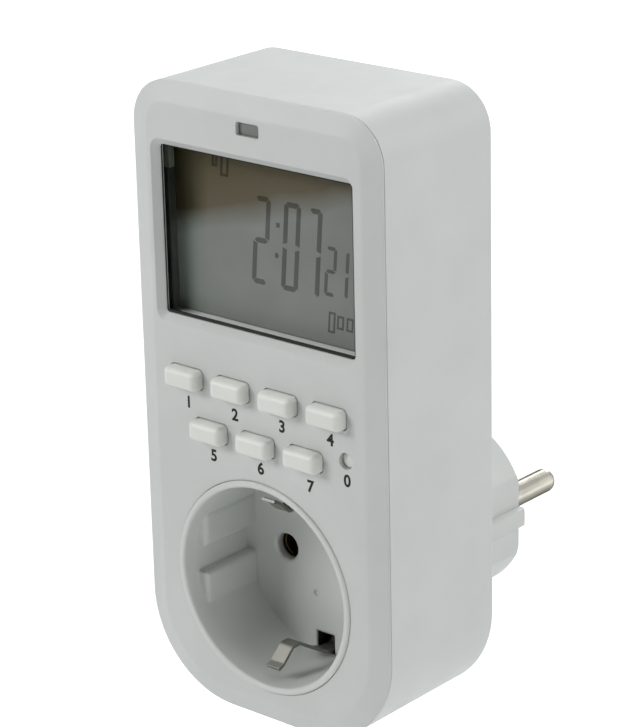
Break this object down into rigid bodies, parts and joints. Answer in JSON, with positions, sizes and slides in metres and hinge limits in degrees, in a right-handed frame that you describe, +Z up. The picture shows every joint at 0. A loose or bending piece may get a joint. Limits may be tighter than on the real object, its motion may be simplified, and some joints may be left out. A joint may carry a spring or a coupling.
{
  "type": "electronic plug-in timer",
  "caption": "Plug-in electronic timer with a recessed display window, rows of keys, an earthed round socket in front and a two-pin earthed plug behind.",
  "frame": {"origin": "centre of the flat end face of the plug's round boss, between the two pins", "axes": "+Y along the plug's pins towards the wall outlet, +Z up towards the display, +X to the right as seen from the front"},
  "size_m": [0.0588, 0.0794, 0.1214],
  "materials": {
    "housing": "fine satin moulding, warm light grey",
    "keys": "satin, same light grey as the housing",
    "socket_plastic": "satin light grey",
    "clear_plastic": "clear polished plastic",
    "light_guide": "smoked plastic, unlit",
    "frame_plastic": "dark grey moulding",
    "display": "grey-green liquid crystal with dark digits",
    "zebra": "striped conductive rubber",
    "circuit_board": "green solder mask",
    "black_plastic": "satin black moulding",
    "plunger_plastic": "red-brown switch plunger",
    "carrier_plastic": "heat-resistant off-white moulding",
    "brass": "bright sheet brass",
    "nickel": "nickel plated",
    "steel": "zinc plated",
    "relay_shell": "blue cover",
    "winding": "enamelled copper winding",
    "film_case": "yellow case",
    "disc_coat": "blue coating",
    "ceramic": "beige ceramic"
  },
  "bodies": {
    "timer": {"front_cover": "housing", "rear_housing": "housing", "plug_boss": "housing", "socket_insert": "socket_plastic", "lcd_window": "clear_plastic", "indicator_light_guide": "light_guide", "indicator_led": "light_guide", "lcd_frame": "frame_plastic", "lcd_panel": "display", "lcd_contact_strips": "zebra", "logic_board": "circuit_board", "power_board": "circuit_board", "switch_cases": "black_plastic", "board_header": "black_plastic", "relay_base": "black_plastic", "driver_transistor": "black_plastic", "controller_blob": "black_plastic", "rectifier_diodes": "black_plastic", "smoothing_capacitor": "black_plastic", "contact_carrier": "carrier_plastic", "socket_contact_neutral": "brass", "socket_contact_live": "brass", "neutral_strap": "brass", "live_strap": "brass", "earth_link": "brass", "plug_pin_neutral": "nickel", "plug_pin_live": "nickel", "earth_strip_upper": "nickel", "earth_strip_lower": "nickel", "cell_tabs": "nickel", "watch_crystal": "nickel", "backup_cell": "nickel", "housing_screws": "steel", "logic_board_screws": "steel", "power_board_screws": "steel", "relay_yoke": "steel", "relay_cover": "relay_shell", "relay_coil": "winding", "dropper_capacitor": "film_case", "varistor": "disc_coat", "fuse": "ceramic", "resistors": "ceramic"},
    "key_1": {"key_1": "keys", "key_1_plunger": "plunger_plastic"},
    "key_2": {"key_2": "keys", "key_2_plunger": "plunger_plastic"},
    "key_3": {"key_3": "keys", "key_3_plunger": "plunger_plastic"},
    "key_4": {"key_4": "keys", "key_4_plunger": "plunger_plastic"},
    "key_5": {"key_5": "keys", "key_5_plunger": "plunger_plastic"},
    "key_6": {"key_6": "keys", "key_6_plunger": "plunger_plastic"},
    "key_7": {"key_7": "keys", "key_7_plunger": "plunger_plastic"},
    "reset": {"reset_button": "keys", "reset_plunger": "plunger_plastic"},
    "armature": {"relay_armature": "steel"}
  },
  "joints": [
    {"name": "key_1_press", "type": "slide", "parent": "timer", "child": "key_1", "axis": [0, 1, 0], "range_m": [0, 0.0005], "stiffness_N_per_m": 300, "springref_m": -0.001},
    {"name": "key_2_press", "type": "slide", "parent": "timer", "child": "key_2", "axis": [0, 1, 0], "range_m": [0, 0.0005], "stiffness_N_per_m": 300, "springref_m": -0.001},
    {"name": "key_3_press", "type": "slide", "parent": "timer", "child": "key_3", "axis": [0, 1, 0], "range_m": [0, 0.0005], "stiffness_N_per_m": 300, "springref_m": -0.001},
    {"name": "key_4_press", "type": "slide", "parent": "timer", "child": "key_4", "axis": [0, 1, 0], "range_m": [0, 0.0005], "stiffness_N_per_m": 300, "springref_m": -0.001},
    {"name": "key_5_press", "type": "slide", "parent": "timer", "child": "key_5", "axis": [0, 1, 0], "range_m": [0, 0.0005], "stiffness_N_per_m": 300, "springref_m": -0.001},
    {"name": "key_6_press", "type": "slide", "parent": "timer", "child": "key_6", "axis": [0, 1, 0], "range_m": [0, 0.0005], "stiffness_N_per_m": 300, "springref_m": -0.001},
    {"name": "key_7_press", "type": "slide", "parent": "timer", "child": "key_7", "axis": [0, 1, 0], "range_m": [0, 0.0005], "stiffness_N_per_m": 300, "springref_m": -0.001},
    {"name": "reset_press", "type": "slide", "parent": "timer", "child": "reset", "axis": [0, 1, 0], "range_m": [0, 0.0005], "stiffness_N_per_m": 300, "springref_m": -0.001},
    {"name": "armature_hinge", "type": "hinge", "parent": "timer", "child": "armature", "pos_m": [0.0125, -0.0437, 0.0723], "axis": [1, 0, 0], "range_deg": [0, 2.5], "stiffness_Nm_per_rad": 0.01, "springref_deg": -17.19}
  ]
}
